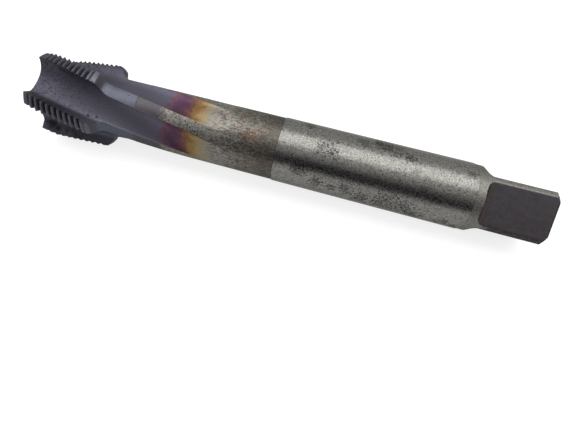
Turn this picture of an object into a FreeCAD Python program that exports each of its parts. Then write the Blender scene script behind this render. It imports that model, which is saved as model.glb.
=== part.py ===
import FreeCAD, Part
import os
import Sketcher
from FreeCAD import Placement, Rotation, Vector
from math import asin, cos, radians, sin, tan

# A machine tap with spiral flutes: one solid of high-speed steel, turned and ground from a bar.
# The axis is X. The cutting end lies at X = 0 and the driving square at the far end.
# Lengths are millimetres and angles degrees. Rolls are measured about the axis from +Z.

DIMENSIONS = {
    "overall_length": 125.0,
    # threaded cutting head
    "thread_diameter": 22.0,
    "thread_pitch": 1.5,
    "thread_depth": 0.81,
    "groove_root_width": 0.38,
    "groove_flank_angle": 30.0,
    "thread_full_length": 14.7,
    "thread_fade_length": 2.7,
    "lead_length": 3.9,
    "lead_front_diameter": 20.5,
    # shoulder behind the head
    "head_length": 17.5,
    "shoulder_slope": 68.0,
    "crown_radius": 0.6,
    "foot_radius": 2.6,
    # neck: a short ground relief, then the plain neck
    "relief_diameter": 15.6,
    "relief_end": 27.5,
    "neck_diameter": 15.68,
    # shank and driving square
    "shank_diameter": 16.0,
    "shank_start": 63.3,
    "shank_end": 107.8,
    "step_bevel": 0.1,
    "square_base_diameter": 15.68,
    "square_across": 12.0,
    "square_start": 111.5,
    "square_cutter_radius": 1.8,
    "square_roll": 36.8,
    "end_bevel": 0.7,
    # flutes
    "flute_count": 5,
    "flute_lead": 290.0,
    "flute_angle": 55.0,
    "flute_roll": 15.8,
    "core_radius": 6.45,
    "flute_floor_radius": 11.0,
    "flute_heel_radius": 4.6,
    "flute_face_radius": 1.8,
    "flute_full_length": 37.0,
    "flute_length": 53.0,
    "runout_step": 0.3,
    # centre holes in both ends
    "centre_diameter": 5.0,
    "centre_angle": 60.0,
    "pilot_diameter": 2.0,
    "pilot_depth": 6.5,
    "drill_point_angle": 118.0,
    # how far a cutter starts outside the steel, and how far a thread groove's mouth does
    "cutter_clearance": 2.0,
    "groove_clearance": 0.12,
}
SQUARE_SIDES = 4
NODE = "thread_tap"
SIZE = DIMENSIONS

doc = FreeCAD.newDocument("tap")
sheet = doc.addObject("Spreadsheet::Sheet", "Dimensions")
for row, (alias, number) in enumerate(DIMENSIONS.items(), start=1):
    sheet.set("A%d" % row, alias)
    sheet.set("B%d" % row, str(number))
    sheet.setAlias("B%d" % row, alias)
doc.recompute()


def new_body(name):
    """An empty body of the document."""
    return doc.addObject("PartDesign::Body", name)


def cells(expression):
    """Write each dimension's name in the expression out as a reference to its cell."""
    words = expression.split()
    return " ".join("Dimensions." + word if word in DIMENSIONS else word for word in words)


def origin_feature(body, role):
    """The body's own origin plane or axis with the given role."""
    return next(item for item in body.Origin.OriginFeatures if item.Role == role)


def new_sketch(body, role):
    """An empty sketch on one of the body's origin planes."""
    sketch = body.newObject("Sketcher::SketchObject", body.Name + "Profile")
    sketch.AttachmentSupport = [(origin_feature(body, role), "")]
    sketch.MapMode = "FlatFace"
    return sketch


def drawn_size(sketch, kind, where):
    """What the constraint would measure on the sketch as it is drawn now."""
    if kind == "Radius":
        return sketch.Geometry[where[0]].Radius
    if kind == "Distance":
        return sketch.Geometry[where[0]].length()
    point = sketch.getPoint(*where[-2:])
    return point.x if kind == "DistanceX" else point.y


def fix(sketch, kind, value, *where):
    """Add a dimension constraint tied to the sheet, or put the point on an axis for a value of 0."""
    if value == "0":
        axis = -2 if kind == "DistanceX" else -1
        sketch.addConstraint(Sketcher.Constraint("PointOnObject", *where[-2:], axis))
        return
    size = drawn_size(sketch, kind, where)
    index = sketch.addConstraint(Sketcher.Constraint(kind, *where, size))
    sketch.setExpression("Constraints[%d]" % index, cells(value))


def fix_point(sketch, edge, end, across, along):
    """Fix one end of an edge by its distances from the sketch's origin."""
    fix(sketch, "DistanceX", across, -1, 1, edge, end)
    fix(sketch, "DistanceY", along, -1, 1, edge, end)


def outline(sketch, corners):
    """Draw straight lines round the corners, each given as two expressions."""
    count = len(corners)
    spread = [Vector(cos(radians(360 * i / count)), sin(radians(360 * i / count)), 0)
              for i in range(count)]
    for i in range(count):
        sketch.addGeometry(Part.LineSegment(spread[i], spread[(i + 1) % count]), False)
    for i, (across, along) in enumerate(corners):
        sketch.addConstraint(Sketcher.Constraint("Coincident", i - 1 if i else count - 1, 2, i, 1))
        fix_point(sketch, i, 1, across, along)


def turned(body, sketch):
    """Turn the sketch's profile a full circle about X."""
    feature = body.newObject("PartDesign::Revolution", body.Name + "Turned")
    feature.Profile = sketch
    feature.ReferenceAxis = (origin_feature(body, "X_Axis"), [""])
    feature.Angle = 360
    doc.recompute()
    return feature


def turned_blank(body):
    """The whole profile turned about X, with its two centre holes, before any grinding."""
    cone = "( centre_diameter - pilot_diameter ) / 2 / tan( centre_angle / 2 )"
    tip = "pilot_diameter / 2 / tan( drill_point_angle / 2 )"
    drop = "( thread_diameter - relief_diameter ) / 2 / tan( shoulder_slope )"
    sketch = new_sketch(body, "XY_Plane")
    outline(sketch, [
        ("pilot_depth + " + tip, "0"),
        ("pilot_depth", "pilot_diameter / 2"),
        (cone, "pilot_diameter / 2"),
        ("0", "centre_diameter / 2"),
        ("0", "lead_front_diameter / 2"),
        ("lead_length", "thread_diameter / 2"),
        ("head_length", "thread_diameter / 2"),
        ("head_length + " + drop, "relief_diameter / 2"),
        ("relief_end", "relief_diameter / 2"),
        ("relief_end + step_bevel", "neck_diameter / 2"),
        ("shank_start - step_bevel", "neck_diameter / 2"),
        ("shank_start", "shank_diameter / 2"),
        ("shank_end", "shank_diameter / 2"),
        ("shank_end + step_bevel", "square_base_diameter / 2"),
        ("overall_length - end_bevel", "square_base_diameter / 2"),
        ("overall_length", "square_base_diameter / 2 - end_bevel"),
        ("overall_length", "centre_diameter / 2"),
        ("overall_length - " + cone, "pilot_diameter / 2"),
        ("overall_length - pilot_depth", "pilot_diameter / 2"),
        ("overall_length - pilot_depth - " + tip, "0"),
    ])
    return turned(body, sketch)


def ring_edge(feature, station, radius):
    """The name of the feature's circular edge round the axis at this station and radius."""
    for number, edge in enumerate(feature.Shape.Edges, start=1):
        circle = edge.Curve
        if (isinstance(circle, Part.Circle) and abs(circle.Center.x - station) < 1e-4
                and abs(circle.Radius - radius) < 1e-4):
            return "Edge%d" % number
    raise ValueError("no ring at %g, radius %g" % (station, radius))


def rounded_shoulder(body, base):
    """Round the head's rear corner and the foot where the slope meets the neck."""
    step = (SIZE["thread_diameter"] - SIZE["relief_diameter"]) / 2
    foot_station = SIZE["head_length"] + step / tan(radians(SIZE["shoulder_slope"]))
    for name, station, diameter, radius in (
            ("Crown", SIZE["head_length"], SIZE["thread_diameter"], "crown_radius"),
            ("Foot", foot_station, SIZE["relief_diameter"], "foot_radius")):
        fillet = body.newObject("PartDesign::Fillet", name)
        fillet.Base = (base, [ring_edge(base, station, diameter / 2)])
        fillet.setExpression("Radius", cells(radius))
        doc.recompute()
        base = fillet


def helix_cutter(name, draw, pitch, height, cone_angle="", towards_tip=False):
    """A cutter swept along a right-hand helix about X from the drawn profile's own station."""
    body = new_body(name)
    sweep = body.newObject("PartDesign::AdditiveHelix", name + "Sweep")
    sweep.Profile = draw(body)
    sweep.ReferenceAxis = (origin_feature(body, "X_Axis"), [""])
    sweep.Mode = "pitch-height-angle"
    sweep.setExpression("Pitch", cells(pitch))
    sweep.setExpression("Height", cells(height))
    if cone_angle:
        sweep.setExpression("Angle", cells(cone_angle))
    sweep.Reversed = towards_tip
    sweep.LeftHanded = False
    doc.recompute()
    return body


def groove_profile(body):
    """The V groove between two crests, drawn where the full thread ends."""
    mouth = "thread_diameter / 2 + groove_clearance"
    root = "thread_diameter / 2 - thread_depth"
    half_root = "groove_root_width / 2"
    half_mouth = half_root + " + ( thread_depth + groove_clearance ) * tan( groove_flank_angle )"
    sketch = new_sketch(body, "XZ_Plane")
    outline(sketch, [
        ("thread_full_length - ( " + half_mouth + " )", mouth),
        ("thread_full_length - " + half_root, root),
        ("thread_full_length + " + half_root, root),
        ("thread_full_length + ( " + half_mouth + " )", mouth),
    ])
    return sketch


def thread_cutters():
    """A groove at full depth back to the tip, and one that climbs out of the crest behind it."""
    rise = "atan( ( thread_depth + groove_clearance ) / thread_fade_length )"
    full = helix_cutter("ThreadGroove", groove_profile, "thread_pitch",
                        "thread_full_length + thread_pitch", towards_tip=True)
    fade = helix_cutter("ThreadFade", groove_profile, "thread_pitch",
                        "thread_fade_length", cone_angle=rise)
    return [full, fade]


def flute_section(body):
    """One flute's section: a radial cutting face, a round root, a shallow floor and a heel arc."""
    outer = SIZE["thread_diameter"] / 2
    half = radians(SIZE["flute_angle"] / 2)
    floor_r, heel_r, face_r = (SIZE[key] for key in (
        "flute_floor_radius", "flute_heel_radius", "flute_face_radius"))
    core = SIZE["core_radius"]
    reach = outer + SIZE["cutter_clearance"]
    heel_corner = Vector(outer * sin(half), outer * cos(half), 0)
    face_end = Vector(-reach * sin(half), reach * cos(half), 0)
    heel_end = heel_corner + Vector(0.3, 1, 0) * SIZE["cutter_clearance"]
    floor_centre = Vector(0, core + floor_r, 0)
    heel_centre = Vector(0.1 * heel_r, core + heel_r + 0.3, 0)
    face_centre = Vector(-0.35 * core, core + face_r + 0.3, 0)
    sketch = new_sketch(body, "YZ_Plane")
    sketch.AttachmentOffset = Placement(Vector(0, 0, -1), Rotation(Vector(0, 0, 1), 1))
    sketch.setExpression(".AttachmentOffset.Base.z", cells("-1 * cutter_clearance"))
    sketch.setExpression(".AttachmentOffset.Rotation.Angle",
                         cells("flute_roll - 360 * cutter_clearance / flute_lead"))

    def arc(centre, radius, first, last):
        circle = Part.Circle(centre, Vector(0, 0, 1), radius)
        return Part.ArcOfCircle(circle, radians(first), radians(last))

    face, face_root, floor, heel, heel_line, mouth = range(6)
    sketch.addGeometry([
        Part.LineSegment(face_end, face_end * 0.6),
        arc(face_centre, face_r, 210, 260),
        arc(floor_centre, floor_r, 260, 275),
        arc(heel_centre, heel_r, 275, 335),
        Part.LineSegment(heel_corner, heel_end),
        Part.LineSegment(heel_end, face_end),
    ], False)
    for first in (face, face_root, floor, heel):
        sketch.addConstraint(Sketcher.Constraint("Tangent", first, 2, first + 1, 1))
    sketch.addConstraint(Sketcher.Constraint("Coincident", heel_line, 2, mouth, 1))
    sketch.addConstraint(Sketcher.Constraint("Coincident", mouth, 2, face, 1))
    sketch.addConstraint(Sketcher.Constraint("PointOnObject", -1, 1, face))
    fix(sketch, "Radius", "flute_heel_radius", heel)
    fix(sketch, "Radius", "flute_floor_radius", floor)
    fix(sketch, "Radius", "flute_face_radius", face_root)
    fix_point(sketch, floor, 3, "0", "core_radius + flute_floor_radius")
    fix_point(sketch, heel, 2, "thread_diameter / 2 * sin( flute_angle / 2 )",
              "thread_diameter / 2 * cos( flute_angle / 2 )")
    reach_words = "( thread_diameter / 2 + cutter_clearance )"
    fix_point(sketch, face, 1, "-1 * " + reach_words + " * sin( flute_angle / 2 )",
              reach_words + " * cos( flute_angle / 2 )")
    fix(sketch, "Distance", "cutter_clearance", heel_line)
    return sketch


def runout_core():
    """What the flute cutter stays above: an arc from the floor up to the neck, turned about X."""
    start, end = SIZE["flute_full_length"], SIZE["flute_length"] + SIZE["cutter_clearance"]
    low, step = SIZE["core_radius"], SIZE["runout_step"]
    rise = SIZE["neck_diameter"] / 2 - low
    run = SIZE["flute_length"] - start
    radius = (run ** 2 + rise ** 2) / 2 / rise
    last = asin((end - start) / radius)
    inner = SIZE["pilot_diameter"] / 2
    corners = [
        Vector(start, low, 0),
        Vector(end, low + radius * (1 - cos(last)), 0),
        Vector(end, inner, 0),
        Vector(start - step, inner, 0),
        Vector(start - step, low - step, 0),
        Vector(start, low - step, 0),
    ]
    body = new_body("RunoutCore")
    sketch = new_sketch(body, "XY_Plane")
    circle = Part.Circle(Vector(start, low + radius, 0), Vector(0, 0, 1), radius)
    edges = [Part.ArcOfCircle(circle, radians(270), radians(270) + last)]
    edges += [Part.LineSegment(corners[i], corners[(i + 1) % 6]) for i in range(1, 6)]
    sketch.addGeometry(edges, False)
    for edge in range(6):
        sketch.addConstraint(Sketcher.Constraint("Coincident", edge, 2, (edge + 1) % 6, 1))
    fix_point(sketch, 0, 1, "flute_full_length", "core_radius")
    fix(sketch, "DistanceX", "flute_full_length", -1, 1, 0, 3)
    reach = "flute_length + cutter_clearance"
    fix(sketch, "DistanceX", reach, -1, 1, 1, 1)
    fix_point(sketch, 2, 1, reach, "pilot_diameter / 2")
    fix_point(sketch, 3, 1, "flute_full_length - runout_step", "pilot_diameter / 2")
    fix_point(sketch, 4, 1, "flute_full_length - runout_step", "core_radius - runout_step")
    fix_point(sketch, 5, 1, "flute_full_length", "core_radius - runout_step")
    depth = "( neck_diameter / 2 - core_radius )"
    length = "( flute_length - flute_full_length )"
    fix(sketch, "Radius", length + " * " + length + " / 2 / " + depth + " + " + depth + " / 2", 0)
    turned(body, sketch)
    return body


def flute_cutter():
    """The flute's sweep, lifted off the steel at its end by the run-out core."""
    sweep = helix_cutter("FluteSweep", flute_section, "flute_lead",
                         "flute_length + cutter_clearance")
    return cut("FluteCutter", sweep, runout_core())


def cut(name, base, tool):
    """The base with the tool's shape taken away."""
    result = doc.addObject("Part::Cut", name)
    result.Base = base
    result.Tool = tool
    result.Refine = False
    doc.recompute()
    return result


def fluted(base):
    """The base with the flute cutter taken away at even steps round the axis."""
    cutter = flute_cutter()
    for index in range(SIZE["flute_count"]):
        copy = doc.addObject("Part::Feature", "FluteCutter%d" % index)
        turn = 360 * index / SIZE["flute_count"]
        copy.Shape = cutter.Shape.rotated(Vector(), Vector(1, 0, 0), turn)
        base = cut("Flute%d" % index, base, copy)
    return base


def threaded(base):
    """The base with the thread's groove and its run-out taken away."""
    for cutter in thread_cutters():
        base = cut(cutter.Name + "Cut", base, cutter)
    return base


def driving_square(body):
    """Four flats, each ending in the hollow that a round cutter leaves."""
    sketch = new_sketch(body, "XZ_Plane")
    sketch.AttachmentOffset = Placement(Vector(0, 0, 0), Rotation(Vector(1, 0, 0), 1))
    sketch.setExpression(".AttachmentOffset.Rotation.Angle", cells("square_roll"))
    start_x, radius = SIZE["square_start"], SIZE["square_cutter_radius"]
    flat_z = SIZE["square_across"] / 2
    centre = Vector(start_x, flat_z + radius, 0)
    left, bottom = centre - Vector(radius, 0, 0), centre - Vector(0, radius, 0)
    top_z = flat_z + radius + SIZE["cutter_clearance"]
    end_x = SIZE["overall_length"] + SIZE["cutter_clearance"]
    circle = Part.Circle(centre, Vector(0, 0, 1), radius)
    sketch.addGeometry([
        Part.ArcOfCircle(circle, radians(180), radians(270)),
        Part.LineSegment(bottom, Vector(end_x, flat_z, 0)),
        Part.LineSegment(Vector(end_x, flat_z, 0), Vector(end_x, top_z, 0)),
        Part.LineSegment(Vector(end_x, top_z, 0), Vector(left.x, top_z, 0)),
        Part.LineSegment(Vector(left.x, top_z, 0), left),
    ], False)
    hollow, floor, end, mouth, wall = range(5)
    sketch.addConstraint(Sketcher.Constraint("Tangent", hollow, 2, floor, 1))
    sketch.addConstraint(Sketcher.Constraint("Coincident", floor, 2, end, 1))
    sketch.addConstraint(Sketcher.Constraint("Coincident", end, 2, mouth, 1))
    sketch.addConstraint(Sketcher.Constraint("Coincident", mouth, 2, wall, 1))
    sketch.addConstraint(Sketcher.Constraint("Tangent", wall, 2, hollow, 1))
    for edge, direction in ((floor, "Horizontal"), (end, "Vertical"),
                            (mouth, "Horizontal"), (wall, "Vertical")):
        sketch.addConstraint(Sketcher.Constraint(direction, edge))
    fix(sketch, "Radius", "square_cutter_radius", hollow)
    fix_point(sketch, hollow, 3, "square_start", "square_across / 2 + square_cutter_radius")
    fix_point(sketch, end, 2, "overall_length + cutter_clearance",
              "square_across / 2 + square_cutter_radius + cutter_clearance")
    flat = body.newObject("PartDesign::Pocket", "Flat")
    flat.Profile = sketch
    flat.Midplane = True
    flat.setExpression("Length", cells("shank_diameter + 2 * cutter_clearance"))
    doc.recompute()
    pattern = body.newObject("PartDesign::PolarPattern", "Square")
    pattern.Originals = [flat]
    pattern.Axis = (origin_feature(body, "X_Axis"), [""])
    pattern.Angle = 360
    pattern.Occurrences = SQUARE_SIDES
    body.Tip = pattern
    doc.recompute()


def check(tap):
    """Stop if any feature failed or the finished tap is not one sound solid."""
    for item in doc.Objects:
        if "Invalid" in item.State or "Error" in item.State:
            raise RuntimeError("%s failed: %s" % (item.Name, item.State))
    if tap.Shape.isNull() or not tap.Shape.isValid() or len(tap.Shape.Solids) != 1:
        raise RuntimeError("%s is not one valid solid" % tap.Label)


blank = new_body("Blank")
rounded_shoulder(blank, turned_blank(blank))
driving_square(blank)
tap = threaded(fluted(blank))
tap.Label = NODE
check(tap)
os.makedirs("parts", exist_ok=True)
tap.Shape.exportStep("parts/%s.step" % tap.Label)
print("%s: volume %.1f, %d faces" % (tap.Label, tap.Shape.Volume, len(tap.Shape.Faces)))
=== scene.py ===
"""The thread tap: a worn machine tap with a coated, fluted head, lying on a plain white surface."""
import math

import bpy
import numpy as np
from mathutils import Matrix, Vector


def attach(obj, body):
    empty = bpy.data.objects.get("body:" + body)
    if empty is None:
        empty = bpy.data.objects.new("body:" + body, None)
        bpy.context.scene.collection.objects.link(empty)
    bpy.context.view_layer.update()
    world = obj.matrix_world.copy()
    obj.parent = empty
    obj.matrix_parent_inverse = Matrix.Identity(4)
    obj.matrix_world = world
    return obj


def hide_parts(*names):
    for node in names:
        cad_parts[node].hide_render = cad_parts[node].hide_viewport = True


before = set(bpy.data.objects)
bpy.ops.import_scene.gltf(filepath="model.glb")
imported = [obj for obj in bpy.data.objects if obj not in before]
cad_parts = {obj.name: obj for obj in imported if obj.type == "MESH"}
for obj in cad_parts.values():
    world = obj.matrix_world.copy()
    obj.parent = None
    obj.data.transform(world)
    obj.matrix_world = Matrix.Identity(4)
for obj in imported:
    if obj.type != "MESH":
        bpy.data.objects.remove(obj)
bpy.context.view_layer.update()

MM = 0.001

# Lengths in mm along the axis from the cutting end, radii and angles in degrees, as in the frame.
LEAD_LENGTH, LEAD_RADIUS = 3.9, 10.25
CREST_RADIUS, ROOT_RADIUS = 11.0, 10.19
HEAD_LENGTH, SHOULDER_SLOPE = 17.5, math.radians(68)
# The rear crown is rounder here than the solid's 0.6 mm.
CROWN_RADIUS, FOOT_RADIUS = 1.2, 2.6
RELIEF_RADIUS, RELIEF_END = 7.8, 27.5
NECK_RADIUS, SHANK_RADIUS, SQUARE_BASE_RADIUS = 7.84, 8.0, 7.84
SHANK_START, SHANK_END, STEP = 63.3, 107.8, 0.1
LENGTH, END_BEVEL = 125.0, 0.7
HALF_SQUARE, SQUARE_START, SQUARE_CUTTER, SQUARE_ROLL = 6.0, 111.5, 1.8, 36.8
PITCH, THREAD_FULL, THREAD_FADE, ROOT_HALF = 1.5, 14.7, 2.7, 0.19
GROOVE_MARGIN, FLANK = 0.12, math.tan(math.radians(30))
FLUTES, FLUTE_LEAD, FLUTE_HALF, FLUTE_ROLL = 5, 290.0, 27.5, 15.8
CORE, FLOOR_ARC, HEEL_ARC, FACE_ARC = 6.45, 11.0, 4.6, 1.8
FLUTE_FULL, FLUTE_END = 37.0, 53.0
# Lands whose thread grooves are partly filled: the land's angle and the share of depth filled.
PACKED_LANDS = ((123.8, 0.6), (-92.2, 0.4))
# The filling reaches this far to each side of that angle, and fades out over the last part of it.
PACKED_REACH, PACKED_FADE = 18, 6
# How softly the flute meets the climb behind it: on the head, what is added, and over what length.
RUNOUT_SHARP, RUNOUT_SOFT, RUNOUT_LENGTH = 0.02, 1.1, 7
CENTRE_RADIUS, PILOT_RADIUS, PILOT_DEPTH = 2.5, 1.0, 6.5
CENTRE_DEPTH = (CENTRE_RADIUS - PILOT_RADIUS) / math.tan(math.radians(30))
DRILL_DEPTH = PILOT_DEPTH + PILOT_RADIUS / math.tan(math.radians(59))
TWIST = 360.0 / FLUTE_LEAD

# How the grid is divided round one flute and one land.
FLUTE_COLUMNS, LAND_COLUMNS = 28, 12
COLUMNS = FLUTES * (FLUTE_COLUMNS + LAND_COLUMNS)


def turned_radius(x):
    """Radius of the turned profile, before the thread, flutes and square are cut."""
    run = CROWN_RADIUS * math.tan(SHOULDER_SLOPE / 2)
    crown = HEAD_LENGTH - run
    crown_end = HEAD_LENGTH + run * math.cos(SHOULDER_SLOPE)
    drop = (CREST_RADIUS - RELIEF_RADIUS) / math.tan(SHOULDER_SLOPE)
    foot_run = FOOT_RADIUS * math.tan(SHOULDER_SLOPE / 2)
    foot = HEAD_LENGTH + drop + foot_run
    foot_start = HEAD_LENGTH + drop - foot_run * math.cos(SHOULDER_SLOPE)
    radius = np.interp(
        x,
        [0, LEAD_LENGTH, HEAD_LENGTH, HEAD_LENGTH + drop, RELIEF_END, RELIEF_END + STEP,
         SHANK_START - STEP, SHANK_START, SHANK_END, SHANK_END + STEP, LENGTH - END_BEVEL, LENGTH],
        [LEAD_RADIUS, CREST_RADIUS, CREST_RADIUS, RELIEF_RADIUS, RELIEF_RADIUS, NECK_RADIUS,
         NECK_RADIUS, SHANK_RADIUS, SHANK_RADIUS, SQUARE_BASE_RADIUS, SQUARE_BASE_RADIUS,
         SQUARE_BASE_RADIUS - END_BEVEL])
    arc = CREST_RADIUS - CROWN_RADIUS + np.sqrt(np.clip(CROWN_RADIUS**2 - (x - crown)**2, 0, None))
    radius = np.where((x > crown) & (x < crown_end), arc, radius)
    hollow = RELIEF_RADIUS + FOOT_RADIUS - np.sqrt(np.clip(FOOT_RADIUS**2 - (x - foot)**2, 0, None))
    return np.where((x > foot_start) & (x < foot), hollow, radius)


def groove_centre(x, roll):
    """Station of the thread groove nearest to the point."""
    shift = PITCH * roll / 360
    return THREAD_FULL + shift + PITCH * np.round((x - THREAD_FULL - shift) / PITCH)


def groove_floor(centre):
    """Radius of the groove's floor: level to the last full thread, then climbing out."""
    climb = (CREST_RADIUS - ROOT_RADIUS + GROOVE_MARGIN) / THREAD_FADE
    late = np.clip(centre - THREAD_FULL, 0, None)
    return np.where(late > THREAD_FADE, 2 * CREST_RADIUS, ROOT_RADIUS + climb * late)


def packed(x, roll):
    """Share of the groove's depth that is filled, on the two lands whose teeth are shallower."""
    share = 0
    for land, full in PACKED_LANDS:
        away = np.abs((roll - TWIST * x - land + 180) % 360 - 180)
        share = share + full * smooth((PACKED_REACH - away) / PACKED_FADE)
    return share


def outer_radius(x, roll):
    """Radius of the lands: the turned profile less the V groove of the thread."""
    centre = groove_centre(x, roll)
    wall = groove_floor(centre) + np.clip(np.abs(x - centre) - ROOT_HALF, 0, None) / FLANK
    whole = turned_radius(x)
    return whole - np.clip(whole - wall, 0, None) * (1 - packed(x, roll))


def square_radius(x, roll):
    """Radius of the four ground flats and the hollows that the round cutter leaves before them."""
    away = np.radians((roll - SQUARE_ROLL + 45) % 90 - 45)
    back = np.clip(SQUARE_START - x, 0, None)
    rise = SQUARE_CUTTER - np.sqrt(np.clip(SQUARE_CUTTER**2 - back**2, 0, None))
    height = np.where(back < SQUARE_CUTTER, HALF_SQUARE + rise, 2 * CREST_RADIUS)
    return height / np.cos(away)


def runout_radius(x):
    """Radius below which the flute's cutter no longer reaches, as it climbs out behind the head."""
    run, rise = FLUTE_END - FLUTE_FULL, NECK_RADIUS - CORE
    arc = (run**2 + rise**2) / 2 / rise
    along = np.clip(x - FLUTE_FULL, 0, arc)
    return np.where(x < FLUTE_FULL, 0, CORE + arc - np.sqrt(arc**2 - along**2))


def flute_section():
    """The flute's section from heel to cutting face as (length along it, turn from its middle, radius).

    It is the heel arc, the floor arc and the face arc, each tangent to the next, then a radial face.
    """
    half = math.radians(FLUTE_HALF)
    floor = np.array([0.0, CORE + FLOOR_ARC])
    corner = CREST_RADIUS * np.array([-math.sin(half), math.cos(half)])
    to_corner = corner - floor
    gap = np.linalg.norm(to_corner)
    near = FLOOR_ARC - HEEL_ARC
    along = (near**2 - HEEL_ARC**2 + gap**2) / 2 / gap
    off = math.sqrt(near**2 - along**2)
    unit = to_corner / gap
    heel = floor + along * unit + off * np.array([-unit[1], unit[0]])
    face_way = np.array([math.sin(half), math.cos(half)])
    face_in = np.array([-math.cos(half), math.sin(half)])
    start = FACE_ARC * face_in - floor
    middle = -start @ face_way
    reach = math.sqrt(middle**2 - start @ start + (FLOOR_ARC - FACE_ARC)**2)
    face = FACE_ARC * face_in + (middle - reach) * face_way

    def angle(point, centre):
        return math.atan2(point[1] - centre[1], point[0] - centre[0])

    def arc(centre, radius, first, last, count):
        turn = np.linspace(first, last, count)
        return np.stack([centre[0] + radius * np.cos(turn), centre[1] + radius * np.sin(turn)], 1)

    heel_joint = angle(heel, floor)
    face_joint = angle(face, floor)
    face_top = angle(face - FACE_ARC * face_in, face)
    heel_top = angle(corner, heel)
    tangent = np.array([math.sin(heel_top), -math.cos(heel_top)])
    points = np.concatenate([
        corner + tangent * 2.5 * np.linspace(1, 0.02, 30)[:, None],
        arc(heel, HEEL_ARC, heel_top, heel_joint, 160),
        arc(floor, FLOOR_ARC, heel_joint, face_joint, 120),
        arc(face, FACE_ARC, face_joint, face_top, 80),
        face_way * np.linspace(face @ face_way + 0.01, CREST_RADIUS + 2, 120)[:, None],
    ])
    length = np.concatenate([[0], np.cumsum(np.linalg.norm(np.diff(points, axis=0), axis=1))])
    turn = np.degrees(np.arctan2(points[:, 0], points[:, 1]))
    return length, turn, np.linalg.norm(points, axis=1)


def smooth(x):
    """0 below 0, 1 above 1, with a smooth rise between."""
    x = np.clip(x, 0, 1)
    return x * x * (3 - 2 * x)


def column_turns():
    """Each grid column's nominal turn about the axis, seen in the twisting frame of the flutes."""
    sector = 360.0 / FLUTES
    first = FLUTE_ROLL - FLUTE_HALF - 2 * sector
    flute = np.arange(FLUTE_COLUMNS) / FLUTE_COLUMNS * 2 * FLUTE_HALF
    land = 2 * FLUTE_HALF + np.arange(LAND_COLUMNS) / LAND_COLUMNS * (sector - 2 * FLUTE_HALF)
    return first + np.arange(FLUTES)[:, None] * sector + np.concatenate([flute, land])


def stations():
    """Station of every vertex, one row of the grid after another, from the front face to the back.

    Over the thread the rows follow the groove: they lie on its floor's edges and its crests' edges
    and advance along the axis with the turn. Near both ends, and behind the thread, they are rings.
    """
    turn = column_turns().ravel()
    shift = PITCH * turn / 360
    shift[:FLUTE_COLUMNS] = np.linspace(
        PITCH * (turn[0] + 360) / 360, shift[FLUTE_COLUMNS], FLUTE_COLUMNS + 1)[:-1]
    shift = np.append(shift, 0)
    lean = 1 - PITCH * TWIST / 360
    rows = []
    for centre in THREAD_FULL % PITCH + PITCH * np.arange(-1, 12):
        middle = (centre + shift) / lean
        for part in (-1.2, -1, -0.66, -0.33, 0, None, 0, 0.33, 0.66, 1):
            if part is None:
                rows.append(middle)
                continue
            side = -1 if len(rows) % 10 < 5 else 1
            edge = middle + side * ROOT_HALF
            for _ in range(3):
                depth = np.clip(turned_radius(edge) - groove_floor(middle), 0.12,
                                CREST_RADIUS - ROOT_RADIUS)
                edge = middle + side * (ROOT_HALF + abs(part) * depth * FLANK)
            rows.append(edge)
    rows = np.array(rows)
    level = rows[:, -1]
    keep = (level > 0.12) & (level < HEAD_LENGTH)
    rows, level = rows[keep], level[keep]
    rings = np.concatenate([
        np.arange(HEAD_LENGTH + 0.1, 20.9, 0.12),
        np.linspace(21.2, RELIEF_END, 16), [RELIEF_END + STEP],
        np.arange(RELIEF_END + 0.8, FLUTE_END + 2, 0.42),
        np.arange(FLUTE_END + 3, SHANK_START - 0.5, 1), [SHANK_START - STEP, SHANK_START],
        np.arange(SHANK_START + 1, SHANK_END - 0.5, 1.45), [SHANK_END, SHANK_END + STEP],
        np.linspace(SHANK_END + 0.4, SQUARE_START - SQUARE_CUTTER, 4),
        np.arange(SQUARE_START - SQUARE_CUTTER + 0.08, SQUARE_START, 0.1), [SQUARE_START],
        np.linspace(SQUARE_START + 0.6, LENGTH - END_BEVEL, 16),
        np.linspace(LENGTH - END_BEVEL + 0.1, LENGTH, 7),
    ])
    level = np.concatenate([[0], level, rings])
    rows = np.concatenate([0 * rows[:1], rows, rings[:, None] + shift / lean])
    follow = smooth(level / 1.6) * (1 - smooth((level - 16.9) / 1.7))
    return (level[:, None] + follow[:, None] * (rows - level[:, None]))[:, :-1], turn


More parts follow.
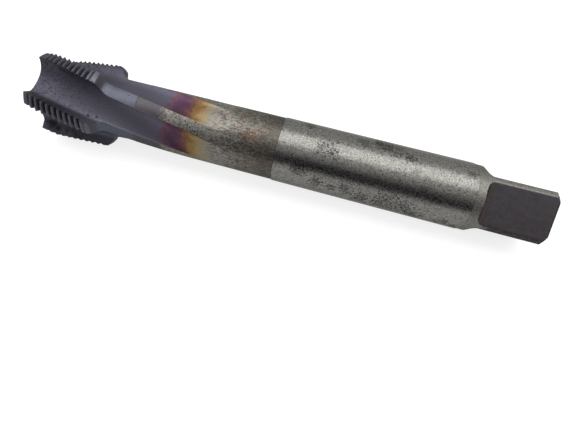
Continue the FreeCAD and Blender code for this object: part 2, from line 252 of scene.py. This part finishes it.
def grid():
    """Station, roll about the axis and radius of every vertex, with the land share and the depth.

    Round one flute the columns divide its section's length between the lands' edges; on a land they
    divide its width. Along the shank they drift until they divide the four flats instead.
    """
    x, turn = stations()
    length, section_turn, section_radius = flute_section()
    low = np.argmin(section_radius)
    sector = 360.0 / FLUTES
    spread = np.arange(FLUTE_COLUMNS) / FLUTE_COLUMNS
    spread = spread - 0.45 * np.sin(2 * math.pi * spread) / (2 * math.pi)
    block = FLUTE_COLUMNS + LAND_COLUMNS
    middles = FLUTE_ROLL + (np.arange(FLUTES) - 2) * sector
    roll = np.zeros_like(x)
    radius = np.full_like(x, np.inf)
    starts, ends = [], []
    for flute in range(FLUTES):
        heel_x, face_x = x[:, flute * block], x[:, flute * block + FLUTE_COLUMNS]
        middle = middles[flute]
        heel = outer_radius(heel_x, middle - FLUTE_HALF + TWIST * heel_x)
        face = outer_radius(face_x, middle + FLUTE_HALF + TWIST * face_x)
        start = np.interp(-heel, -section_radius[:low + 1], length[:low + 1])
        end = np.interp(face, section_radius[low:], length[low:])
        along = start[:, None] + (end - start)[:, None] * spread
        here = slice(flute * block, flute * block + FLUTE_COLUMNS)
        roll[:, here] = middle + np.interp(along, length, section_turn)
        radius[:, here] = np.interp(along, length, section_radius)
        starts.append(middle + np.interp(start, length, section_turn))
        ends.append(middle + np.interp(end, length, section_turn))
    starts.append(starts[0] + 360)
    across = np.arange(LAND_COLUMNS) / LAND_COLUMNS
    for flute in range(FLUTES):
        here = slice(flute * block + FLUTE_COLUMNS, (flute + 1) * block)
        roll[:, here] = ends[flute][:, None] + (starts[flute + 1] - ends[flute])[:, None] * across
    land = np.where(np.arange(COLUMNS) % block >= FLUTE_COLUMNS, 1.0, 0.0) + 0 * x
    roll += TWIST * np.minimum(x, SHANK_START)
    flat = math.degrees(math.acos(HALF_SQUARE / SQUARE_BASE_RADIUS))
    side = COLUMNS // 4
    corner = 8
    quarter = np.concatenate([np.linspace(-flat, flat, side - corner, endpoint=False),
                              np.linspace(flat, 90 - flat, corner, endpoint=False)])
    target = (SQUARE_ROLL + 90 * np.arange(-4, 8)[:, None] + quarter).ravel()
    plain = roll[np.argmax(x[:, 0] > SHANK_START + 0.5)]
    first = np.argmin(np.abs(target - plain[0]))
    drift = smooth((x - SHANK_START - 1) / (SHANK_END - SHANK_START - 2))
    roll = roll + drift * (target[first:first + COLUMNS] - plain)
    runout = runout_radius(x)
    soft = RUNOUT_SHARP + RUNOUT_SOFT * smooth((x - FLUTE_FULL) / RUNOUT_LENGTH)
    filled = (radius + runout + np.sqrt((np.where(np.isinf(radius), 0, radius) - runout)**2
                                        + soft**2)) / 2
    cut = np.where(np.isinf(radius), np.inf, filled)
    radius = np.minimum(np.minimum(outer_radius(x, roll), cut), square_radius(x, roll))
    depth = turned_radius(x) - radius
    return x, roll, radius, land, depth


def closed_ends(x, roll, radius):
    """Carry the grid over both end faces and down their centre holes, as rows of y and z."""
    y, z = -radius * np.sin(np.radians(roll)), radius * np.cos(np.radians(roll))
    hole = [(0, CENTRE_RADIUS), (CENTRE_DEPTH / 2, (CENTRE_RADIUS + PILOT_RADIUS) / 2),
            (CENTRE_DEPTH, PILOT_RADIUS), (PILOT_DEPTH, PILOT_RADIUS), (DRILL_DEPTH, 0.01)]
    for end, sign in ((0, 1), (-1, -1)):
        turns = np.radians(roll[end, 0] + 360 * np.arange(COLUMNS) / COLUMNS)
        ring_y, ring_z = -np.sin(turns), np.cos(turns)
        new = []
        for share in (0.25, 0.5, 0.75):
            new.append((x[end], y[end] + share * (CENTRE_RADIUS * ring_y - y[end]),
                        z[end] + share * (CENTRE_RADIUS * ring_z - z[end])))
        for deep, wide in hole:
            new.append((x[end] + sign * deep, wide * ring_y, wide * ring_z))
        if sign == 1:
            new.reverse()
        block = [np.array([item[part] for item in new]) for part in range(3)]
        order = (block, (x, y, z)) if sign == 1 else ((x, y, z), block)
        x, y, z = (np.concatenate([order[0][part], order[1][part]]) for part in range(3))
    return x, y, z, len(hole) + 3


def surface(name, x, y, z, facts):
    """A closed mesh from a grid that wraps round the axis, with a point at each end."""
    rows, columns = x.shape
    points = np.stack([x, y, z], -1).reshape(-1, 3)
    ends = np.array([points[:columns].mean(0), points[-columns:].mean(0)])
    number = np.arange(rows * columns).reshape(rows, columns)
    a, b = number[:-1], number[1:]
    quads = np.stack([a, np.roll(a, -1, 1), np.roll(b, -1, 1), b], -1).reshape(-1, 4)
    top, tail = rows * columns, rows * columns + 1
    fans = np.concatenate([
        np.stack([np.roll(number[0], -1), number[0], np.full(columns, top)], -1),
        np.stack([number[-1], np.roll(number[-1], -1), np.full(columns, tail)], -1)])
    mesh = bpy.data.meshes.new(name)
    mesh.from_pydata((np.concatenate([points, ends]) * MM).tolist(), [],
                     quads.tolist() + fans.tolist())
    for key, values in facts.items():
        layer = mesh.attributes.new(key, "FLOAT", "POINT")
        layer.data.foreach_set("value", np.append(values.ravel(), [0, 0]).astype(np.float32))
    mesh.polygons.foreach_set("use_smooth", np.ones(len(mesh.polygons), bool))
    mesh.set_sharp_from_angle(angle=math.radians(30))
    thing = bpy.data.objects.new(name, mesh)
    bpy.context.scene.collection.objects.link(thing)
    return thing


def tap_piece():
    """The tap as one closed surface."""
    x, roll, radius, land, depth = grid()
    gx, gy, gz, extra = closed_ends(x, roll, radius)

    def padded(values, fill=0.0):
        rest = np.full((extra, COLUMNS), fill)
        return np.concatenate([rest, values, rest])

    facts = {"station": gx, "land": padded(land), "depth": padded(depth, 1.0)}
    return surface("tap", gx, gy, gz, facts)


tap = tap_piece()
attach(tap, "root")
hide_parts("thread_tap")


def node(tree, kind, inputs, **settings):
    """Add a node with its options, and give each input a value or another node's output."""
    made = tree.nodes.new(kind)
    for key, value in settings.items():
        setattr(made, key, value)
    for key, value in inputs.items():
        if isinstance(value, bpy.types.NodeSocket):
            tree.links.new(value, made.inputs[key])
        else:
            made.inputs[key].default_value = value
    return made


def sums(tree, operation, first, second=0.0, third=0.0):
    """One step of arithmetic on numbers or outputs."""
    return node(tree, "ShaderNodeMath", {0: first, 1: second, 2: third},
                operation=operation).outputs[0]


def rise(tree, value, low, high, first=0.0, last=1.0):
    """A soft step from the first value to the last, as the input goes from low to high."""
    return node(tree, "ShaderNodeMapRange",
                {"Value": value, "From Min": low, "From Max": high, "To Min": first, "To Max": last},
                interpolation_type="SMOOTHSTEP").outputs[0]


def blend(tree, share, first, second):
    """One colour laid over another by a share."""
    return node(tree, "ShaderNodeMix", {0: share, 6: first, 7: second}, data_type="RGBA").outputs[2]


def grain(tree, vector, scale, detail=3.0, rough=0.55):
    """Cloudy noise, with its scale in repeats a millimetre."""
    return node(tree, "ShaderNodeTexNoise", {"Vector": vector, "Scale": scale, "Detail": detail,
                                             "Roughness": rough}).outputs[0]


def colours(tree, value, low, high, stops):
    """Colours along a length: each stop is a station in mm and a colour."""
    share = sums(tree, "DIVIDE", sums(tree, "SUBTRACT", value, low), high - low)
    ramp = node(tree, "ShaderNodeValToRGB", {0: share})
    bar = ramp.color_ramp.elements
    while len(bar) < len(stops):
        bar.new(0.5)
    for element, (station, colour) in zip(bar, stops):
        element.position = (station - low) / (high - low)
        element.color = (*colour, 1)
    return ramp.outputs[0]


COAT = (0.074, 0.072, 0.094, 1)
COAT_LIGHT = (0.092, 0.090, 0.114, 1)
COAT_DARK = (0.030, 0.030, 0.036, 1)
CREST = (0.086, 0.087, 0.105, 1)
SLOPE = (0.058, 0.058, 0.070, 1)
# Painted shade: the colour of the thread grooves, darker than the crests.
PAINTED_GROOVE_SHADE = (0.052, 0.052, 0.063, 1)
FACET = (0.072, 0.076, 0.096, 1)
BROWN_COAT = (0.062, 0.056, 0.062, 1)
BARE = (0.125, 0.116, 0.102, 1)
BARE_DARK = (0.050, 0.044, 0.038, 1)
BARE_LIGHT = (0.230, 0.220, 0.200, 1)
BROWN = (0.058, 0.050, 0.043, 1)
SCALE = (0.120, 0.098, 0.080, 1)
RUST = (0.095, 0.046, 0.028, 1)
GROUND = (0.150, 0.147, 0.136, 1)
# Very dark: the shank's stains, and painted shade on the square's -Y corner.
DEEP_STAIN_AND_SHADE = (0.028, 0.027, 0.028, 1)
# Very dark: the pits, and painted shade in the hollow of a chip.
PIT_AND_CHIP_SHADE = (0.016, 0.015, 0.016, 1)
STAIN = (0.060, 0.056, 0.050, 1)
BRIGHT = (0.300, 0.295, 0.275, 1)
MATT = (0.165, 0.161, 0.147, 1)
FLAT = (0.073, 0.067, 0.078, 1)
HOLLOW = (0.062, 0.052, 0.047, 1)

FACET_START = 18.5

# Single marks: the middle of each in mm in the frame, and its size.
STAINS = [
    ((69.9, -7.1, 3.6), 1.53), ((73.8, -7.7, 2), 1.7), ((77.4, -7.8, 1.7), 1.36),
    ((80.9, -7.8, 2), 1.87), ((84.6, -7.9, 0.9), 2.21), ((90.3, -7.9, 1.1), 3.06),
    ((93.8, -7.9, 1.1), 2.72), ((97.1, -8, -0.5), 2.04), ((103.5, -8, -0.8), 1.53),
    ((69.2, 4.2, 6.8), 1.7), ((86.8, 3.7, 7.1), 2.55), ((90, 2.7, 7.5), 2.04),
    ((93.1, 1.1, 7.9), 1.36), ((75.2, -2, 7.7), 2.21), ((73.1, -1.9, 7.8), 1.36),
    ((68.6, -6.8, 4.2), 1.19), ((106.2, -7.8, -1.7), 1.19),
]
# The two largest listed, near the front on the -Y, -Z side, are painted shade: a chip's hollow that the
# mesh lacks.
PITS_AND_CHIP_SHADE = [
    ((15.8, -6.9, 3.8), 0.4), ((17.9, -6.6, 3.6), 0.36), ((2, -1.7, 6.2), 0.24),
    ((4.6, -1, 6.7), 0.24), ((5.9, -4.2, 5.4), 0.24), ((3.2, -4.8, 5.5), 0.24),
    ((6.8, -1.3, 6.6), 0.18), ((4, -3.1, 5.8), 0.21), ((0.9, -0.4, 6.7), 0.18),
    ((8.7, -2.1, 6.2), 0.18), ((2.4, -7.4, -3.9), 1.5), ((3.9, -8, -4.6), 0.9),
    ((12, -3.6, 5.4), 0.18),
]
RUSTS = [
    ((57.1, -3.1, 7.2), 1.43), ((55.7, -3.3, 7.1), 1.17), ((53.6, 1, 7.8), 0.78),
    ((43.7, 1.8, 7), 0.65), ((49.6, -0.3, 7.6), 0.65), ((52.9, -2.1, 7.6), 0.65),
    ((58.1, -1.5, 7.7), 0.65), ((60.7, -6.8, 3.9), 0.78),
]
SCALES = [
    ((1.2, -7.4, 7.2), 0.5), ((2.7, -7.7, 6.7), 0.5), ((5.2, -8.2, 7), 0.5),
    ((7.3, -8.3, 5.9), 0.5), ((10.2, -8.6, 5.8), 0.4), ((5, -8.3, -5.1), 0.8),
    ((7.2, -8.5, -5.8), 0.6), ((4, -8.8, 5.8), 0.5), ((5.2, -6.8, 5.7), 0.5),
    ((9.5, -5.6, 4.8), 0.4),
]

# The heat colours of the flutes, by station: coat, violet, straw and then bare steel.
HEAT = [
    (30.0, (0.092, 0.090, 0.114)), (33.8, (0.096, 0.091, 0.120)), (35.4, (0.118, 0.058, 0.080)),
    (37.8, (0.070, 0.038, 0.072)), (40.2, (0.098, 0.046, 0.050)), (42.0, (0.158, 0.088, 0.036)),
    (44.2, (0.200, 0.150, 0.074)), (46.8, (0.180, 0.164, 0.132)), (51.0, (0.140, 0.130, 0.114)),
]


def marks(tree, place, ragged, spots):
    """Share of a group of single marks: 1 inside the ragged edge of any of them."""
    nearest = 100.0
    for centre, size in spots:
        away = node(tree, "ShaderNodeVectorMath", {0: place, 1: centre},
                    operation="DISTANCE").outputs["Value"]
        nearest = sums(tree, "MINIMUM", nearest, sums(tree, "DIVIDE", away, size))
    return rise(tree, sums(tree, "ADD", nearest, ragged), 1.05, 0.35)


def worn_finish():
    """The tap's finish: a dark coat on the head, heat colours in the flutes, and worn bare steel."""
    material = bpy.data.materials.new("worn_steel")
    material.use_nodes = True
    tree = material.node_tree
    shader = tree.nodes["Principled BSDF"]

    def fact(name):
        return node(tree, "ShaderNodeAttribute", {}, attribute_name=name).outputs["Fac"]

    station, land, depth = fact("station"), fact("land"), fact("depth")
    place = node(tree, "ShaderNodeVectorMath",
                 {0: node(tree, "ShaderNodeTexCoord", {}).outputs["Object"], "Scale": 1 / MM},
                 operation="SCALE").outputs[0]
    drawn = node(tree, "ShaderNodeVectorMath", {0: place, 1: (0.3, 1, 1)},
                 operation="MULTIPLY").outputs[0]
    turned = node(tree, "ShaderNodeVectorMath", {0: place, 1: (2.5, 0.6, 0.6)},
                  operation="MULTIPLY").outputs[0]
    cloud = grain(tree, place, 0.22, 3)
    patch = grain(tree, place, 0.75, 5, 0.65)
    streak = grain(tree, drawn, 2.6, 4, 0.8)
    speck = grain(tree, place, 2.3, 3, 0.7)
    fleck = grain(tree, place, 4.2, 2, 0.6)
    ring = grain(tree, turned, 2.2, 3, 0.6)
    edge = sums(tree, "MULTIPLY_ADD", sums(tree, "SUBTRACT", patch, 0.5), 7.0, station)
    crisp = sums(tree, "MULTIPLY_ADD", sums(tree, "SUBTRACT", speck, 0.5), 0.25, station)

    # Bare steel: mottled, with darker drawn streaks, light worn spots and rust specks.
    bare = blend(tree, rise(tree, streak, 0.40, 0.56), BARE_DARK, BARE)
    bare = blend(tree, rise(tree, speck, 0.54, 0.68), bare, BARE_LIGHT)
    bare = blend(tree, rise(tree, patch, 0.56, 0.66, 0.0, 0.55), bare, RUST)
    worn = sums(tree, "MULTIPLY", rise(tree, edge, 43, 46), rise(tree, edge, 50, 56, 1.0, 0.0))
    bare = blend(tree, sums(tree, "MULTIPLY", worn, rise(tree, streak, 0.42, 0.56, 0.1, 0.6)),
                 bare, BARE_LIGHT)
    bare = blend(tree, rise(tree, edge, 57.0, 60.5, 0.0, 0.5), bare, BROWN)

    # The head's coat with its pits; lighter crests, grooves darkened with depth as painted
    # shade, and the ground facets.
    coat = blend(tree, rise(tree, cloud, 0.35, 0.65, 0.0, 0.25), COAT, COAT_DARK)
    coat = blend(tree, rise(tree, station, 10.0, 22.0), coat, COAT_LIGHT)
    coat = blend(tree, sums(tree, "MULTIPLY", rise(tree, speck, 0.50, 0.62),
                            rise(tree, station, 3.0, 26.0, 0.65, 0.15)), coat, COAT_DARK)
    edges = sums(tree, "MULTIPLY", rise(tree, depth, 3.2, 1.2), rise(tree, edge, 13.0, 8.0))
    coat = blend(tree, sums(tree, "MULTIPLY", edges, rise(tree, patch, 0.46, 0.58, 0.0, 0.8)),
                 coat, COAT_DARK)
    coat = blend(tree, sums(tree, "MULTIPLY", edges, rise(tree, fleck, 0.56, 0.66, 0.0, 0.7)),
                 coat, SCALE)
    heat = colours(tree, edge, 30.0, 51.0, HEAT)
    flute = blend(tree, rise(tree, edge, 29.0, 31.0), coat, heat)
    flute = blend(tree, rise(tree, edge, 44.5, 49.0), flute, bare)
    # Painted shade: the thread grooves darken with their depth below the crests.
    crest = blend(tree, rise(tree, depth, 0.10, 0.55), CREST, PAINTED_GROOVE_SHADE)
    crest = blend(tree, rise(tree, speck, 0.50, 0.62, 0.0, 0.35), crest, COAT_DARK)
    slope = blend(tree, rise(tree, crisp, HEAD_LENGTH - 0.1, HEAD_LENGTH + 0.1), crest, SLOPE)
    facet = blend(tree, rise(tree, crisp, FACET_START, FACET_START + 0.2), slope, FACET)
    facet = blend(tree, rise(tree, station, RELIEF_END, RELIEF_END + STEP), facet, BROWN_COAT)
    strip = blend(tree, rise(tree, speck, 0.44, 0.56, 0.0, 0.75), bare, BARE_LIGHT)
    facet = blend(tree, rise(tree, edge, 33.5, 36.5), facet, strip)
    whole = blend(tree, land, flute, facet)
    whole = blend(tree, rise(tree, edge, 47.0, 52.0), whole, bare)

    # The ground shank, with stains and bright rubbed spots, then the matt end and the square,
    # whose corner on the -Y side is darkened as painted shade, broken up by speckle.
    shank = blend(tree, rise(tree, speck, 0.38, 0.50, 0.15, 1.0), STAIN, GROUND)
    shank = blend(tree, rise(tree, fleck, 0.54, 0.66, 0.0, 0.7), shank, BRIGHT)
    shank = blend(tree, rise(tree, cloud, 0.60, 0.68, 0.0, 0.6), shank, STAIN)
    shank = blend(tree, rise(tree, ring, 0.58, 0.70, 0.0, 0.35), shank, BRIGHT)
    on_shank = rise(tree, station, SHANK_START - STEP, SHANK_START)
    whole = blend(tree, on_shank, whole, shank)
    matt = blend(tree, rise(tree, fleck, 0.36, 0.56, 0.25, 1.0), STAIN, MATT)
    # Painted shade: the square's corner on the -Y side, which faces down and forward, is darkened.
    front = rise(tree, node(tree, "ShaderNodeSeparateXYZ", {0: place}).outputs["Y"], -6.4, -7.2)
    front = sums(tree, "MULTIPLY", front, rise(tree, edge, SQUARE_START, SQUARE_START + 1.5))
    matt = blend(tree, sums(tree, "MULTIPLY", front, rise(tree, speck, 0.62, 0.46, 0.72, 0.95)),
                 matt, DEEP_STAIN_AND_SHADE)
    past = rise(tree, station, SHANK_END, SHANK_END + STEP)
    whole = blend(tree, past, whole, matt)
    square = blend(tree, rise(tree, patch, 0.40, 0.62, 0.0, 0.6), FLAT, HOLLOW)
    square = blend(tree, rise(tree, station, SQUARE_START - 0.3, SQUARE_START + 0.2),
                   HOLLOW, square)
    milled = sums(tree, "MULTIPLY", past, rise(tree, depth, 0.03, 0.10))
    whole = blend(tree, milled, whole, square)
    inside = rise(tree, station, LENGTH - 0.4, LENGTH - 0.2)
    whole = blend(tree, inside, whole, BARE_DARK)

    # Single marks where they are: stains on the shank, scale, rust and deep pits on the head; the two
    # largest of these, at the head's front, are painted shade in the hollow of a chip.
    ragged = sums(tree, "MULTIPLY_ADD", sums(tree, "SUBTRACT", patch, 0.5), 2.0, -0.1)
    ragged = sums(tree, "MULTIPLY_ADD", sums(tree, "SUBTRACT", speck, 0.5), 3.5, ragged)
    flecked = rise(tree, sums(tree, "ADD", speck, sums(tree, "MULTIPLY", fleck, 0.4)), 0.78, 0.62,
                   0.25, 1.0)
    for spots, colour, share, broken in (
            (SCALES, SCALE, 0.5, flecked), (RUSTS, RUST, 0.8, flecked),
            (STAINS, DEEP_STAIN_AND_SHADE, 0.9, flecked), (PITS_AND_CHIP_SHADE, PIT_AND_CHIP_SHADE, 0.85, 1.0)):
        mark = sums(tree, "MULTIPLY", marks(tree, place, ragged, spots), broken)
        whole = blend(tree, sums(tree, "MULTIPLY", mark, share), whole, colour)

    # Pits: small dark hollows, many on the head and some on the bare steel.
    pits = node(tree, "ShaderNodeTexVoronoi", {"Vector": place, "Scale": 0.9}).outputs[0]
    deep = rise(tree, sums(tree, "ADD", pits, sums(tree, "MULTIPLY", speck, 0.35)), 0.30, 0.22)
    pitted = sums(tree, "MULTIPLY", deep, rise(tree, on_shank, 0, 1, 0.85, 0.35))
    whole = blend(tree, pitted, whole, PIT_AND_CHIP_SHADE)
    tree.links.new(whole, shader.inputs["Base Color"])

    coated = rise(tree, edge, 34.0, 44.0, 0.56, 0.46)
    coated = sums(tree, "SUBTRACT", coated,
                  sums(tree, "MULTIPLY", land, rise(tree, edge, 34, 38, 0.16, 0)))
    gloss = sums(tree, "MULTIPLY_ADD", sums(tree, "SUBTRACT", speck, 0.5), 0.35, coated)
    on_body = sums(tree, "MULTIPLY", on_shank,
                   rise(tree, station, SHANK_END, SHANK_END + STEP, 1, 0))
    gloss = sums(tree, "SUBTRACT", gloss, sums(tree, "MULTIPLY", on_body, 0.19))
    tree.links.new(gloss, shader.inputs["Roughness"])
    shader.inputs["Metallic"].default_value = 1.0
    shader.inputs["Specular Tint"].default_value = (0.55, 0.55, 0.54, 1)

    relief = sums(tree, "ADD", sums(tree, "MULTIPLY", speck, 0.03),
                  sums(tree, "MULTIPLY", streak, 0.02))
    relief = sums(tree, "SUBTRACT", relief, sums(tree, "MULTIPLY", pitted, 0.05))
    bump = node(tree, "ShaderNodeBump", {"Height": relief, "Strength": 0.6, "Distance": MM})
    tree.links.new(bump.outputs[0], shader.inputs["Normal"])
    return material


tap.data.materials.append(worn_finish())

# The camera: its own axes in the row frame, then its lens and shift.
EYE = Vector((72.863, -51.236, 77.999)) * MM
RIGHT = Vector((0.9594, 0.28137, 0.01949))
UP = Vector((-0.25551, 0.83781, 0.48249))
camera = bpy.data.cameras.new("camera")
eye = bpy.data.objects.new("camera", camera)
bpy.context.scene.collection.objects.link(eye)
back = RIGHT.cross(UP).normalized()
up = back.cross(RIGHT).normalized()
right = up.cross(back)
eye.matrix_world = Matrix((
    (right.x, up.x, back.x, EYE.x), (right.y, up.y, back.y, EYE.y),
    (right.z, up.z, back.z, EYE.z), (0, 0, 0, 1)))
camera.sensor_width = 36.0
camera.lens = 23.365
camera.shift_x, camera.shift_y = 0.04124, -0.06335
camera.clip_start, camera.clip_end = 0.002, 5.0
bpy.context.scene.camera = eye

# The floor, at the slopes of the plane on which the tap rests: its head's edges and its square's.
REST_SLOPE_X, REST_SLOPE_Y, FLOOR_REACH = 0.02237, -0.08638, 1.5
points = np.empty(3 * len(tap.data.vertices), np.float32)
tap.data.vertices.foreach_get("co", points)
points = points.reshape(-1, 3)
height = float((points[:, 2] - REST_SLOPE_X * points[:, 0] - REST_SLOPE_Y * points[:, 1]).min())
corners = [(-FLOOR_REACH, -FLOOR_REACH), (FLOOR_REACH, -FLOOR_REACH),
           (FLOOR_REACH, FLOOR_REACH), (-FLOOR_REACH, FLOOR_REACH)]
floor_mesh = bpy.data.meshes.new("floor")
floor_mesh.from_pydata([(px, py, height + REST_SLOPE_X * px + REST_SLOPE_Y * py)
                        for px, py in corners], [], [(0, 1, 2, 3)])
floor = bpy.data.objects.new("floor", floor_mesh)
bpy.context.scene.collection.objects.link(floor)

# The floor is white paper: its own shading, lifted to plain white where it is seen directly or
# mirrored in the metal, so that the shadow stays pale.
paper = bpy.data.materials.new("white_paper")
paper.use_nodes = True
tree = paper.node_tree
seen = node(tree, "ShaderNodeLightPath", {})
direct = sums(tree, "MAXIMUM", seen.outputs["Is Camera Ray"], seen.outputs["Is Glossy Ray"])
direct = sums(tree, "MAXIMUM", direct, seen.outputs["Is Transmission Ray"])
sheet = tree.nodes["Principled BSDF"]
sheet.inputs["Base Color"].default_value = (0.27, 0.27, 0.27, 1)
sheet.inputs["Roughness"].default_value = 1.0
sheet.inputs["Specular IOR Level"].default_value = 0.0
sheet.inputs["Emission Color"].default_value = (1, 1, 1, 1)
tree.links.new(sums(tree, "MULTIPLY", direct, 0.78), sheet.inputs["Emission Strength"])
floor.data.materials.append(paper)

# The room: bright behind the tap, dim on the camera's side.
DIM, PALE = (0.045, 0.042, 0.062, 1), (1, 1, 1, 1)
world = bpy.data.worlds.new("studio")
bpy.context.scene.world = world
world.use_nodes = True
tree = world.node_tree
way = node(tree, "ShaderNodeSeparateXYZ",
           {0: node(tree, "ShaderNodeTexCoord", {}).outputs["Generated"]})
dim = sums(tree, "MULTIPLY", rise(tree, way.outputs["Y"], -0.35, -0.85),
           rise(tree, way.outputs["Z"], 0.05, 0.18))
tree.links.new(blend(tree, dim, PALE, DIM),
               tree.nodes["Background"].inputs["Color"])

# One long soft box above the tap and a little behind it, along its axis.
BOX_LENGTH, BOX_WIDTH, BOX_DISTANCE, BOX_LEAN = 1.2, 0.34, 0.45, math.radians(13.7)
box = bpy.data.lights.new("soft_box", "AREA")
box.shape = "RECTANGLE"
box.size, box.size_y = BOX_LENGTH, BOX_WIDTH
box.energy = 3.2
lamp = bpy.data.objects.new("soft_box", box)
lamp.location = (LENGTH / 2 * MM, BOX_DISTANCE * math.sin(BOX_LEAN),
                 BOX_DISTANCE * math.cos(BOX_LEAN))
lamp.rotation_euler = (-BOX_LEAN, 0, 0)
bpy.context.scene.collection.objects.link(lamp)

bpy.context.scene.view_settings.view_transform = "Standard"
